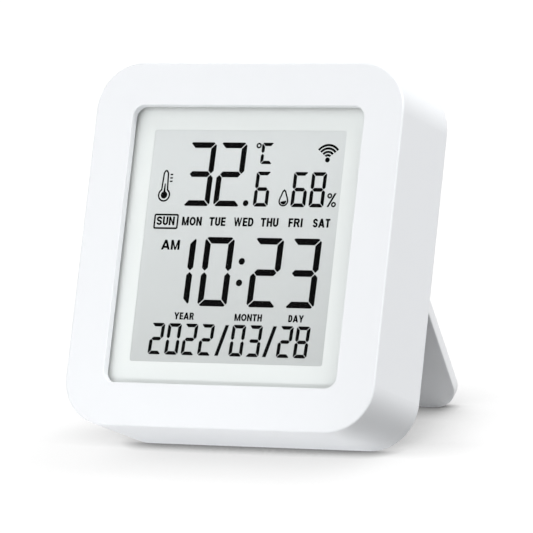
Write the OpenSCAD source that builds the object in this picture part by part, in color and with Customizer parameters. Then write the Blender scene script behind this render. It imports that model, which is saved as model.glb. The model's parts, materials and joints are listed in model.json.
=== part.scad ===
// Desk temperature and humidity display with a fold-out stand, in millimetres.
// Pieces are drawn in the case's own axes: x across, y from the front face to the back, z up.
// standing() then sets the case down on its rear bottom edge and on the foot of the open stand.

/* [Case] */
// Width of the frame beside the window
frame_side = 8.6; // [7.6:0.05:12]
// Width of the frame above and below the window
frame_end = 8.85; // [7.8:0.05:12]
// Corner radius of the case, seen from the front
case_corner_r = 9.8; // [8.6:0.1:11]
// Rounding of the front edge
front_edge_r = 0.4; // [0.3:0.1:1.4]
// Rounding of the back edge
back_edge_r = 0.4; // [0.3:0.1:1.4]
// Thickness of the side walls
side_wall = 2; // [1.7:0.1:2.3]
// Thickness of the front frame
front_wall = 1.8; // [1.5:0.1:2.4]

/* [Window] */
// Width of the window opening
window_w = 52.2; // [47:0.1:60]
// Height of the window opening
window_h = 57.3; // [51:0.1:66]
// Corner radius of the window opening
window_r = 2.5; // [1.5:0.1:4]
// Rounding of the opening's front edge
window_edge_r = 0.2; // [0.1:0.05:0.6]
// Overlap of the window behind the frame, all round
lens_lip = 1.3; // [1.1:0.1:1.5]
// Corner radius of the clear window
lens_r = 5; // [4.4:0.1:5.6]
// Thickness of the clear window
lens_t = 0.8; // [0.6:0.1:1.4]
// Thickness of the adhesive ring that holds the window
tape_t = 0.1; // [0.05:0.05:0.3]
// Thickness of the white border behind the window
border_t = 0.05; // [0.05:0.05:0.2]
// Gap between the window and the white border
border_gap = 0.02; // [0.01:0.01:0.04]

/* [Display] */
// Width of the white border beside the display
border_side = 4.4; // [3.6:0.1:6]
// Width of the white border above and below the display
border_end = 4.7; // [4.1:0.1:7]
// Corner radius of the part that shows
view_r = 0.55; // [0.2:0.05:1.5]
// Height of the display's middle above the window's middle
view_rise = 0.2; // [-0.5:0.1:1]
// Distance of the part that shows to the right of the window's middle
view_shift = -0.3; // [-0.5:0.1:0.5]
// Cover of the border over the display's edge, left and right
view_overlap = 2; // [1:0.1:2.2]
// Cover of the border over the display's edge, above and below
view_overlap_z = 1; // [0.5:0.1:1.2]
// Contact ledge of the front glass, above and below the rear glass
glass_ledge = 2.8; // [2.4:0.1:3.4]
// Thickness of each glass
glass_t = 0.7; // [0.5:0.1:1.1]
// Thickness of the front polariser
polariser_t = 0.2; // [0.1:0.05:0.3]
// Thickness of the reflector behind the rear glass
reflector_t = 0.25; // [0.1:0.05:0.4]
// Air behind the reflector, in front of the board
reflector_gap = 0.9; // [0.5:0.1:1.5]
// Width of a contact strip
strip_w = 2; // [1.5:0.1:2.2]
// Length of a contact strip
strip_l = 42; // [36:0.5:43]

/* [Board] */
// Thickness of the main board
board_t = 1.2; // [0.8:0.1:1.6]
// Free space between the board and the side walls
board_gap = 0.5; // [0.3:0.1:0.8]
// Distance of the board screws above and below the middle
board_screw_z = 15; // [10:0.5:17]
// Radius of a board screw's shank
board_screw_r = 0.9; // [0.7:0.05:1]
// Radius of a board screw's head
board_head_r = 1.7; // [1.5:0.05:1.9]
// Height of a board screw's head
board_head_h = 1.1; // [0.8:0.1:1.3]
// Length of a board screw's shank
board_screw_l = 4; // [3:0.1:4.2]
// Radius of a board boss
board_boss_r = 2; // [1.8:0.05:2.1]
// Side of the controller chip
chip_side = 10; // [7:0.5:11]
// Height of the controller chip
chip_h = 1.4; // [1:0.1:2]
// Leads on each side of the controller chip
chip_leads = 9; // [6:1:12]
// Distance of the controller chip's middle to the right of centre
chip_x = 9; // [8:0.5:10]
// Height of the controller chip's middle above the board's lower edge
chip_z = 18.5; // [17:0.5:20]
// Distance of the wireless board's middle to the left of centre
wireless_x = 13; // [12:0.5:15]
// Height of the wireless board's middle above the board's lower edge
wireless_z = 14.5; // [13:0.5:16]
// Width of the wireless board
wireless_w = 16; // [14:0.5:18]
// Length of the wireless board
wireless_l = 24; // [20:0.5:26]
// Thickness of the wireless board
wireless_t = 0.8; // [0.6:0.1:1.2]
// Height of the wireless shield
shield_h = 2.2; // [1.6:0.1:3]
// Distance of the clock crystal's middle to the right of centre
crystal_x = 9; // [8:0.5:12]
// Height of the clock crystal's middle above the board's lower edge
crystal_z = 6.5; // [5:0.5:7]
// Length of the clock crystal's can
crystal_l = 10.6; // [8:0.1:12]
// Width of the clock crystal's can
crystal_w = 3.8; // [3:0.1:4.6]
// Height of the clock crystal's can
crystal_h = 3.5; // [2.5:0.1:4]
// Distance of the storage capacitor's middle to the right of centre
capacitor_x = 22.5; // [20:0.5:24]
// Height of the storage capacitor's middle above the board's lower edge
capacitor_z = 24.5; // [20:0.5:26]
// Radius of the storage capacitor
capacitor_r = 3.1; // [2.5:0.1:3.3]
// Height of the storage capacitor
capacitor_h = 5.6; // [4:0.1:6]
// Distance of the small chip parts' middle to the left of centre
passives_x = 1; // [0.5:0.1:1.2]
// Height of the lowest small chip parts above the board's lower edge
passives_z = 6.5; // [4:0.5:10]
// Length of a small chip part
passive_l = 1.6; // [1:0.1:2]
// Width and height of a small chip part
passive_w = 0.8; // [0.5:0.1:1.2]

/* [Sensor] */
// Width of the sensor board
sensor_w = 12.6; // [10:0.1:14]
// Height of the sensor board
sensor_h = 5; // [4:0.1:5.2]
// Thickness of the sensor board
sensor_t = 1; // [0.6:0.1:1.4]
// Free space between the sensor chip and the rear cover
sensor_gap = 1.2; // [0.8:0.1:2]
// Side of the sensor chip
sensor_chip_side = 2.5; // [2:0.1:3]
// Height of the sensor chip
sensor_chip_h = 0.9; // [0.6:0.1:1.2]
// Spacing of the header pins
pin_pitch = 2.54; // [2:0.01:2.8]
// Thickness of a header pin
pin_side = 0.64; // [0.4:0.02:0.8]
// Width of a vent slot
vent_w = 1.2; // [0.8:0.1:1.5]
// Height of a vent slot
vent_h = 4.2; // [3:0.1:4.6]
// Spacing of the vent slots
vent_pitch = 2.4; // [2.1:0.1:2.6]
// Number of vent slots
vents = 6; // [3:1:6]
// Distance of the vents' middle to the left of centre
vent_x = 15; // [13:0.5:16]

/* [Rear cover] */
// Height of the row of vents and button above the battery door
row_h = 7.35; // [6.5:0.05:9]
// Thickness of the upper rear panel
panel_t = 1.8; // [1.5:0.1:2.2]
// Thickness of the stand recess's floor
floor_t = 1.5; // [1.2:0.1:2]
// Radius of a cover screw's shank
cover_screw_r = 1.1; // [0.9:0.05:1.2]
// Radius of a cover screw's head
cover_head_r = 2; // [1.7:0.05:2]
// Height of a cover screw's head
cover_head_h = 1.4; // [1:0.1:1.8]
// Length of a cover screw's shank
cover_screw_l = 7; // [5:0.1:8]
// Radius of a case boss for a cover screw
case_boss_r = 2.5; // [2.2:0.05:2.6]
// Height of the case bosses above the board
case_boss_rise = 4.5; // [4:0.1:5.5]
// Wall of the cover's screw posts
post_wall = 0.6; // [0.5:0.05:0.7]
// Floor of the cover's screw posts
post_floor = 1.4; // [1:0.1:2]

/* [Battery bay] */
// Diameter of a cell
cell_d = 10.5; // [10:0.1:10.6]
// Length of a cell with its nub
cell_l = 44.5; // [40:0.1:45]
// Radius of a cell's nub
nub_r = 1.9; // [1.5:0.1:2.5]
// Length of a cell's nub
nub_l = 0.8; // [0.6:0.1:1.2]
// Play of the pair of cells in the bay, above and below
cell_play = 0.3; // [0.2:0.05:0.4]
// Room for a contact spring between a cell and its plate
spring_room = 5.6; // [4.5:0.1:5.8]
// Radius of the spring's wire
wire_r = 0.25; // [0.2:0.01:0.3]
// Turns of a contact spring
spring_turns = 3; // [2:1:3]
// Radius of the spring at its plate
spring_base_r = 3.4; // [3:0.1:4]
// Radius of the spring at its cell
spring_tip_r = 2.2; // [2:0.1:2.6]
// Thickness of the contact plates
contact_t = 0.4; // [0.3:0.05:0.5]
// Width of a contact plate
contact_w = 8.6; // [6:0.1:9.4]
// Width of a contact's tail
tail_w = 3; // [2:0.1:4]
// Wall of the battery bay
bay_wall = 1.2; // [1:0.05:1.4]
// Floor of the battery bay
bay_floor = 1; // [0.8:0.05:1.2]
// Width of the rim that joins the bay to the panel, outside the door
bay_rim = 0.5; // [0.4:0.05:0.6]
// Thickness of that rim below the door's seat
bay_rim_t = 1.8; // [1:0.1:2]
// Free space between the board and the battery bay
bay_lift = 1.15; // [0.8:0.05:3]
// Thickness of the battery door
door_t = 1.6; // [1.3:0.1:1.8]
// Seat of the door on the bay's walls
door_seat = 1; // [0.8:0.05:1.1]
// Gap under the closed door
door_lift = 0.2; // [0.1:0.05:0.3]
// Radius of the door's hinge edge
door_barrel_r = 1.1; // [1:0.05:1.3]
// Radius of the door's hinge pins
door_pin_r = 0.55; // [0.45:0.05:0.6]
// Length of the door's hinge pins
door_pin_l = 1.4; // [1:0.1:1.6]
// Width of the latch tab on the door's free edge
latch_w = 8; // [5:0.5:12]
// Thickness of the latch tab
latch_t = 0.6; // [0.5:0.05:0.7]
// Reach of the latch tab below the door
latch_l = 1.4; // [1:0.1:1.8]
// Corner radius of the door's free edge
door_corner_r = 1.5; // [0.5:0.1:3]

/* [Stand] */
// Thickness of the stand
stand_t = 2.4; // [2:0.1:2.6]
// Depth of the hinge axis below the back face
hinge_inset = 1.5; // [1.3:0.05:1.6]
// Angle between the open stand and the back
stand_angle = 51; // [45:0.5:54]
// Length of the heel above the hinge axis
heel_l = 3.6; // [3:0.1:3.7]
// Distance of the shoulder below the hinge axis
shoulder = 4; // [3.5:0.1:5]
// Width of each hinge ear on the cover
ear_w = 3.1; // [2.8:0.1:3.6]
// Radius of the stand's hinge pegs
peg_r = 0.8; // [0.6:0.05:0.85]
// Length of the stand's hinge pegs
peg_l = 2.2; // [1.8:0.1:2.4]
// Rounding of the stand's edges
stand_edge_r = 0.25; // [0.2:0.05:0.7]
// Corner radius of the stand's foot
foot_corner_r = 6; // [5.5:0.1:7]
// Rim of the case below the folded foot
foot_rim = 1.15; // [1.1:0.05:2]
// Radius of the finger notch in the foot
notch_r = 8; // [6:0.5:10]
// Depth of the finger notch in the foot
notch_h = 3; // [2:0.1:4]

/* [Button] */
// Radius of the set button
button_r = 2.1; // [1.6:0.1:2.2]
// Reach of the button's inner flange past its hole
button_flange = 0.5; // [0.4:0.05:0.6]
// Rounding of the button's edge
button_edge_r = 0.3; // [0.1:0.05:0.5]
// Distance of the button to the right of centre
button_x = 16; // [12:0.5:17]
// Height of the button above the back face
button_proud = 0.3; // [0:0.05:0.6]
// Travel of the button
button_travel = 0.4; // [0.3:0.05:0.5]
// Side of the push switch
switch_side = 4.5; // [4:0.1:4.8]
// Height of the push switch
switch_h = 3.4; // [2.5:0.1:4]
// Radius of the switch's plunger
plunger_r = 1.2; // [0.9:0.05:1.5]

/* [Clearances] */
// Gap between the rear cover and the case
cover_gap = 0.15; // [0.1:0.05:0.3]
// Gap round the folded stand
stand_gap = 0.35; // [0.25:0.05:0.5]
// Gap of parts that swing or slide past each other
swing_gap = 0.3; // [0.2:0.05:0.4]
// Gap of the stand's heel to its stop
stop_gap = 0.08; // [0.05:0.01:0.15]
// Gap of hinge pins in their bores
pin_gap = 0.05; // [0.02:0.01:0.1]
// Gap round screws and located parts
fit_gap = 0.1; // [0.05:0.01:0.2]

/* [Hidden] */
$fn = 48;
thin = 0.01;
root_half = sqrt(0.5);

// Case and its hollow
case_w = window_w + 2 * frame_side;
case_h = window_h + 2 * frame_end;
inner_w = case_w - 2 * side_wall;
inner_h = case_h - 2 * side_wall;
inner_r = case_corner_r - side_wall;
mid_z = case_h / 2;

// Layers behind the window, from the front
y_tape = front_wall;
y_lens = y_tape + tape_t;
y_border = y_lens + lens_t + border_gap;
y_polariser = y_lens + lens_t + border_t + fit_gap / 2;
y_front_glass = y_polariser + polariser_t;
y_rear_glass = y_front_glass + glass_t;
y_reflector = y_rear_glass + glass_t;
y_board = y_reflector + reflector_t + reflector_gap;
y_board_back = y_board + board_t;
view_w = window_w - 2 * border_side;
view_h = window_h - 2 * border_end;
view_z = mid_z + view_rise;
lens_w = window_w + 2 * lens_lip;
lens_h = window_h + 2 * lens_lip;
rear_glass_h = view_h + 2 * view_overlap_z;
front_glass_h = rear_glass_h + 2 * glass_ledge;
glass_w = view_w + 2 * view_overlap;

// Battery bay behind the board, and the depth that it gives the case
cell_pitch = cell_d + fit_gap;
bay_l = cell_l + spring_room + 2 * contact_t + fit_gap;
bay_h = cell_pitch + cell_d + 2 * cell_play;
y_bay = y_board_back + bay_lift + bay_floor;
cell_y = y_bay + fit_gap + cell_d / 2;
y_seat = cell_y + cell_d / 2 + swing_gap - door_lift;
case_d = y_seat + door_lift + door_t;
big = case_w + case_h + case_d;

// Cover screws in the case's corners
post_bore_r = cover_head_r + fit_gap;
post_r = post_bore_r + post_wall;
screw_out = inner_r - cover_gap - post_r - fit_gap;
screw_x = case_w / 2 - case_corner_r + screw_out * root_half;
screw_low_z = case_corner_r - screw_out * root_half;
screw_zs = [screw_low_z, case_h - screw_low_z];
boss_top = y_board_back + case_boss_rise;

// Outline shared by the board and the display holder
board_w = inner_w - 2 * board_gap;
board_h = inner_h - 2 * board_gap;
arm_w = 2 * (screw_x - case_boss_r - board_gap);
arm_h = 2 * (mid_z - screw_low_z - case_boss_r - board_gap);
board_low = mid_z - board_h / 2;
board_screw_x = (lens_w / 2 + inner_w / 2) / 2;

// Middles of the parts on the back of the board, across and up from its lower edge
chip_at = [chip_x, board_low + chip_z];
wireless_at = [-wireless_x, board_low + wireless_z];
crystal_at = [crystal_x, board_low + crystal_z];
capacitor_at = [capacitor_x, board_low + capacitor_z];
passives_at = [-passives_x, board_low + passives_z];

// Rear cover
cover_w = inner_w - 2 * cover_gap;
cover_h = inner_h - 2 * cover_gap;
cover_r = inner_r - cover_gap;
y_panel = case_d - panel_t;
y_recess = case_d - stand_t - swing_gap;
y_floor = y_recess - floor_t;

// Back from the top down: row of vents and button, battery door, heel pocket, hinge
row_z = case_h - side_wall - cover_gap - row_h / 2;
door_z1 = row_z - row_h / 2 - swing_gap;
bay_z0 = door_z1 - door_seat - bay_h;
bay_mid_z = bay_z0 + bay_h / 2;
door_w = bay_l + 2 * door_seat;
door_z0 = bay_z0 - door_seat;
door_axis_y = case_d - door_barrel_r;
door_axis_z = door_z0 + door_barrel_r;
door_slot_w = door_w + 2 * swing_gap;
stand_front = hinge_inset - stand_t;
heel_sweep = norm([heel_l, max(hinge_inset, -stand_front)]);
pocket_r = heel_sweep + swing_gap;
pocket_shell_r = pocket_r + floor_t;
hinge_z = bay_z0 - bay_wall - fit_gap - pocket_shell_r;

// Stand and its hinge
hinge_y = case_d - hinge_inset;
stand_w = inner_w - 2 * stand_gap;
stand_l = hinge_z - foot_rim - stand_gap;
pocket_half = cover_w / 2 - ear_w;
tongue_w = 2 * (pocket_half - swing_gap);
ear_drop = sqrt(shoulder * shoulder - hinge_inset * hinge_inset) - swing_gap;
tongue_corner_r = 1;

// Sensor, switch and button behind the row
sensor_chip_y = y_panel - sensor_gap - sensor_chip_h;
sensor_board_y = sensor_chip_y - sensor_t;
header_h = 2.5;
switch_top = y_board_back + switch_h;
plunger_out = 1;
plunger_l = 2.4;
button_flange_r = button_r + button_flange;
button_flange_t = 1;

// Lean of the case: one line touches the rear bottom edge and the foot of the open stand
foot_y = stand_front + stand_edge_r;
foot_z = stand_edge_r - stand_l;
foot_dy = back_edge_r - hinge_inset + foot_y * cos(stand_angle) - foot_z * sin(stand_angle);
foot_dz = hinge_z - back_edge_r + foot_y * sin(stand_angle) + foot_z * cos(stand_angle);
lean = atan2(foot_dz, foot_dy) + asin((back_edge_r - stand_edge_r) / norm([foot_dy, foot_dz]));

// Reach of the leaning case in front of and behind its rear bottom edge
reach_front = (case_d - back_edge_r - front_edge_r) * cos(lean)
    + (back_edge_r - front_edge_r) * sin(lean) + front_edge_r;
reach_back = (case_h - 2 * back_edge_r) * sin(lean) + back_edge_r;
shift_y = (reach_front - reach_back) / 2;

// Puts the case's axes into the standing frame
module standing() {
    translate([0, shift_y, back_edge_r])
        rotate([-lean, 0, 0])
            translate([0, back_edge_r - case_d, -back_edge_r])
                children();
}

// Turns a drawing in x and z into a slab between two depths
module slab(y0, y1) {
    translate([0, y0, 0])
        rotate([90, 0, 0])
            mirror([0, 0, 1])
                linear_extrude(y1 - y0)
                    children();
}

// Turns a drawing in y and z into a bar between two places across
module bar(x0, x1) {
    translate([x0, 0, 0])
        rotate([90, 0, 90])
            linear_extrude(x1 - x0)
                children();
}

// Round post along the depth
module post(x, z, r, y0, y1) {
    translate([x, y0, z])
        rotate([-90, 0, 0])
            cylinder(r = r, h = y1 - y0);
}

// Round rod across the case
module rod(y, z, r, x0, x1) {
    translate([x0, y, z])
        rotate([0, 90, 0])
            cylinder(r = r, h = x1 - x0);
}

// Box between two corners
module box(low, high) {
    translate(low)
        cube(high - low);
}

// Rectangle with round corners, centred on a height
module rounded_rect(w, h, r, z = 0) {
    translate([0, z]) {
        square([w - 2 * r, h], center = true);
        square([w, h - 2 * r], center = true);
        for (sx = [-1, 1], sz = [-1, 1])
            translate([sx * (w / 2 - r), sz * (h / 2 - r)])
                circle(r);
    }
}

// What a rounding of radius r takes off a square corner
module corner_waste(r) {
    difference() {
        square(r);
        translate([r, r])
            circle(r);
    }
}

// Half section of a slab's rim: round edges at the front and the back
module rim_section(reach, depth, front_r, back_r) {
    difference() {
        square([reach, depth]);
        translate([reach, 0])
            mirror([1, 0])
                corner_waste(front_r);
        translate([reach, depth])
            rotate(180)
                corner_waste(back_r);
    }
}

// Slab with round corners and round edges, its front at y = 0 and its middle at x = z = 0
module soft_slab(w, h, depth, corner_r, front_r, back_r) {
    rotate([90, 0, 0])
        mirror([0, 0, 1]) {
            for (turn = [0 : 3]) {
                half = turn % 2 == 0 ? w / 2 : h / 2;
                side = turn % 2 == 0 ? h / 2 : w / 2;
                rotate(90 * turn)
                    translate([half - corner_r, side - corner_r, 0]) {
                        rotate_extrude(angle = 90)
                            rim_section(corner_r, depth, front_r, back_r);
                        rotate([90, 0, 0])
                            linear_extrude(2 * (side - corner_r))
                                rim_section(corner_r, depth, front_r, back_r);
                    }
            }
            translate([corner_r - w / 2, corner_r - h / 2, 0])
                cube([w - 2 * corner_r, h - 2 * corner_r, depth]);
        }
}

// What the rounding of the window opening's front edge takes off the frame
module window_edge() {
    rotate([90, 0, 0])
        mirror([0, 0, 1])
            for (turn = [0 : 3]) {
                half = (turn % 2 == 0 ? window_w : window_h) / 2;
                side = (turn % 2 == 0 ? window_h : window_w) / 2;
                rotate(90 * turn)
                    translate([half - window_r, side - window_r, 0]) {
                        rotate_extrude(angle = 90)
                            translate([window_r, 0])
                                corner_waste(window_edge_r);
                        rotate([90, 0, 0])
                            linear_extrude(2 * (side - window_r))
                                translate([window_r, 0])
                                    corner_waste(window_edge_r);
                    }
            }
}

// Outline of the board and the display holder, with square notches for the case's bosses
module board_outline() {
    translate([0, mid_z]) {
        square([board_w, arm_h], center = true);
        square([arm_w, board_h], center = true);
    }
}

// Places a child at each of the board screws
module at_board_screws() {
    for (sx = [-1, 1], sz = [-1, 1])
        translate([sx * board_screw_x, 0, mid_z + sz * board_screw_z])
            children();
}

// Places a child at each of the cover screws
module at_cover_screws() {
    for (sx = [-1, 1], z = screw_zs)
        translate([sx * screw_x, 0, z])
            children();
}

module front_housing() {
    bore_end = boss_top + post_floor - cover_screw_l - fit_gap;
    board_bore_end = y_board_back - board_screw_l - fit_gap;
    foot_bed_r = foot_corner_r + stand_gap;
    color("white")
        standing() {
            difference() {
                translate([0, 0, mid_z])
                    soft_slab(case_w, case_h, case_d, case_corner_r, front_edge_r, back_edge_r);
                slab(front_wall, case_d + thin)
                    rounded_rect(inner_w, inner_h, inner_r, mid_z);
                slab(y_recess, case_d + thin)
                    rounded_rect(inner_w, hinge_z, foot_bed_r, foot_rim + hinge_z / 2);
                slab(-thin, case_d)
                    rounded_rect(window_w, window_h, window_r, mid_z);
                translate([0, 0, mid_z])
                    window_edge();
            }
            difference() {
                at_cover_screws()
                    post(0, 0, case_boss_r, front_wall / 2, boss_top);
                at_cover_screws()
                    post(0, 0, cover_screw_r + pin_gap, bore_end, boss_top + thin);
            }
            difference() {
                at_board_screws()
                    post(0, 0, board_boss_r, front_wall / 2, y_board);
                at_board_screws()
                    post(0, 0, board_screw_r + pin_gap, board_bore_end, y_board + thin);
            }
        }
}

module window_lens() {
    color("aliceblue", 0.3)
        standing()
            slab(y_lens, y_lens + lens_t)
                rounded_rect(lens_w, lens_h, lens_r, mid_z);
}

module window_tape() {
    color("gainsboro")
        standing()
            slab(y_tape, y_lens)
                difference() {
                    rounded_rect(lens_w, lens_h, lens_r, mid_z);
                    rounded_rect(window_w, window_h, window_r, mid_z);
                }
}

module window_border() {
    color("white")
        standing()
            slab(y_border, y_border + border_t)
                difference() {
                    rounded_rect(lens_w, lens_h, lens_r, mid_z);
                    translate([view_shift, 0])
                        rounded_rect(view_w, view_h, view_r, view_z);
                }
}

// One flat layer of the display
module display_layer(y0, t, w, h) {
    standing()
        box([-w / 2, y0, view_z - h / 2], [w / 2, y0 + t, view_z + h / 2]);
}

module lcd_front_polariser() {
    color("lightgray")
        display_layer(y_polariser, polariser_t, glass_w, rear_glass_h);
}

module lcd_front_glass() {
    color("gainsboro", 0.5)
        display_layer(y_front_glass, glass_t, glass_w, front_glass_h);
}

module lcd_rear_glass() {
    color("gainsboro", 0.5)
        display_layer(y_rear_glass, glass_t, glass_w, rear_glass_h);
}

module lcd_reflector() {
    color("silver")
        display_layer(y_reflector, reflector_t, glass_w, rear_glass_h);
}

module lcd_frame() {
    pocket_w = glass_w + 2 * fit_gap;
    pocket_h = front_glass_h + 2 * fit_gap;
    color("white")
        standing()
            difference() {
                slab(y_border + border_t, y_board)
                    difference() {
                        board_outline();
                        translate([0, view_z])
                            square([pocket_w, pocket_h], center = true);
                    }
                at_board_screws()
                    post(0, 0, board_boss_r + fit_gap, front_wall, case_d);
            }
}

module zebra_strips() {
    strip_z = (front_glass_h - glass_ledge) / 2;
    color("dimgray")
        standing()
            for (s = [-1, 1])
                translate([0, 0, view_z + s * strip_z])
                    box([-strip_l / 2, y_rear_glass, -strip_w / 2], [strip_l / 2, y_board, strip_w / 2]);
}

module main_board() {
    color("darkgreen")
        standing()
            difference() {
                slab(y_board, y_board_back)
                    board_outline();
                at_board_screws()
                    post(0, 0, board_screw_r + fit_gap, 0, case_d);
            }
}

module board_screws() {
    color("silver")
        standing()
            at_board_screws() {
                post(0, 0, board_head_r, y_board_back, y_board_back + board_head_h);
                post(0, 0, board_screw_r, y_board_back - board_screw_l, y_board_back);
            }
}

module controller_chip() {
    lead_l = 1;
    lead_t = 0.2;
    lead_margin = 0.5;
    lead_pitch = (chip_side - 2 * lead_margin) / chip_leads;
    lead_w = lead_pitch / 2;
    color("black")
        standing()
            translate([chip_at[0], y_board_back, chip_at[1]]) {
                box([-chip_side / 2, 0, -chip_side / 2], [chip_side / 2, chip_h, chip_side / 2]);
                for (turn = [0 : 3], i = [0 : chip_leads - 1])
                    rotate([0, 90 * turn, 0])
                        translate([chip_side / 2 - lead_l, 0, (i - (chip_leads - 1) / 2) * lead_pitch])
                            box([0, 0, -lead_w / 2], [2 * lead_l, lead_t, lead_w / 2]);
            }
}

module clock_crystal() {
    color("silver")
        standing()
            translate([crystal_at[0], 0, crystal_at[1]])
                slab(y_board_back, y_board_back + crystal_h) {
                    square([crystal_l - crystal_w, crystal_w], center = true);
                    for (s = [-1, 1])
                        translate([s * (crystal_l - crystal_w) / 2, 0])
                            circle(crystal_w / 2);
                }
}

module storage_capacitor() {
    base_t = 0.8;
    color("silver")
        standing()
            translate([capacitor_at[0], 0, capacitor_at[1]]) {
                box([-capacitor_r, y_board_back, -capacitor_r],
                    [capacitor_r, y_board_back + base_t, capacitor_r]);
                post(0, 0, capacitor_r - fit_gap, y_board_back, y_board_back + capacitor_h);
            }
}

module board_passives() {
    columns = 2;
    rows = 6;
    color("tan")
        standing()
            for (i = [0 : columns - 1], j = [0 : rows - 1])
                translate([passives_at[0] + i * 2 * passive_l - passive_l, y_board_back,
                        passives_at[1] + j * 2 * passive_l])
                    box([-passive_l / 2, 0, -passive_w / 2], [passive_l / 2, passive_w, passive_w / 2]);
}

module wireless_board() {
    color("darkblue")
        standing()
            translate([wireless_at[0], y_board_back, wireless_at[1]])
                box([-wireless_w / 2, 0, -wireless_l / 2], [wireless_w / 2, wireless_t, wireless_l / 2]);
}

module wireless_shield() {
    edge = 1.2;
    antenna = 7;
    corner_r = 1;
    foot_r = 0.1;
    top_r = 0.5;
    w = wireless_w - 2 * edge;
    l = wireless_l - edge - antenna;
    color("silver")
        standing()
            translate([wireless_at[0], y_board_back + wireless_t, wireless_at[1] - (antenna - edge) / 2])
                soft_slab(w, l, shield_h, corner_r, foot_r, top_r);
}

module sensor_board() {
    color("darkblue")
        standing()
            box([-vent_x - sensor_w / 2, sensor_board_y, row_z - sensor_h / 2],
                [-vent_x + sensor_w / 2, sensor_chip_y, row_z + sensor_h / 2]);
}

module sensor_chip() {
    half = sensor_chip_side / 2;
    port_r = 0.5;
    port_depth = 0.3;
    color("black")
        standing()
            translate([-vent_x, sensor_chip_y, row_z])
                difference() {
                    box([-half, 0, -half], [half, sensor_chip_h, half]);
                    post(0, 0, port_r, sensor_chip_h - port_depth, sensor_chip_h + thin);
                }
}

module sensor_header() {
    pins = 4;
    color("dimgray")
        standing()
            translate([-vent_x, 0, row_z]) {
                box([-pins * pin_pitch / 2, y_board_back, -pin_pitch / 2],
                    [pins * pin_pitch / 2, y_board_back + header_h, pin_pitch / 2]);
                for (i = [0 : pins - 1])
                    translate([(i - (pins - 1) / 2) * pin_pitch, 0, 0])
                        box([-pin_side / 2, y_board_back, -pin_side / 2],
                            [pin_side / 2, sensor_board_y, pin_side / 2]);
            }
}

module switch_base() {
    half = switch_side / 2;
    color("silver")
        standing()
            translate([button_x, 0, row_z])
                difference() {
                    box([-half, y_board_back, -half], [half, switch_top, half]);
                    post(0, 0, plunger_r + fit_gap, switch_top + plunger_out - plunger_l
                        - button_travel - swing_gap, switch_top + thin);
                }
}

module switch_plunger() {
    color("black")
        standing()
            post(button_x, row_z, plunger_r, switch_top + plunger_out - plunger_l,
                switch_top + plunger_out);
}

module set_button() {
    flange_y = y_panel - swing_gap - button_flange_t;
    top = case_d + button_proud;
    color("white")
        standing()
            translate([button_x, 0, row_z])
                rotate([-90, 0, 0])
                    rotate_extrude()
                        difference() {
                            union() {
                                translate([0, switch_top + plunger_out])
                                    square([plunger_r, top - switch_top - plunger_out]);
                                translate([0, flange_y])
                                    square([button_flange_r, button_flange_t]);
                                translate([0, flange_y])
                                    square([button_r, top - flange_y]);
                            }
                            translate([button_r, top])
                                rotate(180)
                                    corner_waste(button_edge_r);
                        }
}

// Cut for the stand's heel, down to the slope that stops the open stand
module heel_pocket() {
    translate([0, hinge_y, hinge_z])
        difference() {
            rod(0, 0, pocket_r, -pocket_half, pocket_half);
            rotate([stand_angle, 0, 0])
                box([-big, -big, -big], [big, stand_front - stop_gap, big]);
        }
}

// Space of the folded stand in the lower half of the back
module stand_recess() {
    ear_z = hinge_z - ear_drop;
    box([-big, y_recess, -big], [big, big, ear_z]);
    box([-pocket_half, y_recess, ear_z - thin], [pocket_half, big, hinge_z]);
}

// Row of vent slots
module vent_slots() {
    straight = vent_h - vent_w;
    for (i = [0 : vents - 1])
        translate([(i - (vents - 1) / 2) * vent_pitch - vent_x, 0, row_z])
            slab(y_panel - thin, case_d + thin) {
                square([vent_w, straight], center = true);
                for (s = [-1, 1])
                    translate([0, s * straight / 2])
                        circle(vent_w / 2);
            }
}

// Solid parts of the rear cover, before its cuts
module cover_blank() {
    ear_z = hinge_z - ear_drop;
    bay_half = bay_l / 2 + bay_wall;
    lug_w = door_pin_l + bay_wall;
    lug_r = door_pin_r + pin_gap + bay_wall;
    difference() {
        slab(y_panel, case_d)
            rounded_rect(cover_w, cover_h, cover_r, mid_z);
        box([-big, 0, -big], [big, big, ear_z]);
    }
    difference() {
        slab(y_floor, y_recess)
            rounded_rect(cover_w, cover_h, cover_r, mid_z);
        box([-big, 0, hinge_z], [big, big, big]);
    }
    intersection() {
        rod(hinge_y, hinge_z, pocket_shell_r, -cover_w / 2, cover_w / 2);
        box([-big, 0, 0], [big, y_panel + thin, big]);
    }
    for (s = [-1, 1]) {
        low = min(s * pocket_half, s * cover_w / 2);
        box([low, y_floor, ear_z], [low + ear_w, case_d, hinge_z + pocket_r]);
        box([s * (door_slot_w / 2 + lug_w / 2) - lug_w / 2, door_axis_y - lug_r, door_axis_z - lug_r],
            [s * (door_slot_w / 2 + lug_w / 2) + lug_w / 2, case_d - panel_t / 2, door_axis_z + lug_r]);
    }
    box([-bay_half, y_bay - bay_floor, bay_z0 - bay_wall],
        [bay_half, y_seat, bay_z0 + bay_h + bay_wall]);
    box([-door_slot_w / 2 - bay_rim, y_seat - bay_rim_t, door_z0 - swing_gap - bay_rim],
        [door_slot_w / 2 + bay_rim, case_d - panel_t / 2, door_z1 + swing_gap + bay_rim]);
    for (sx = [-1, 1], z = screw_zs)
        post(sx * screw_x, z, post_r, boss_top, (z < mid_z ? y_floor : y_panel) + thin);
}

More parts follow.
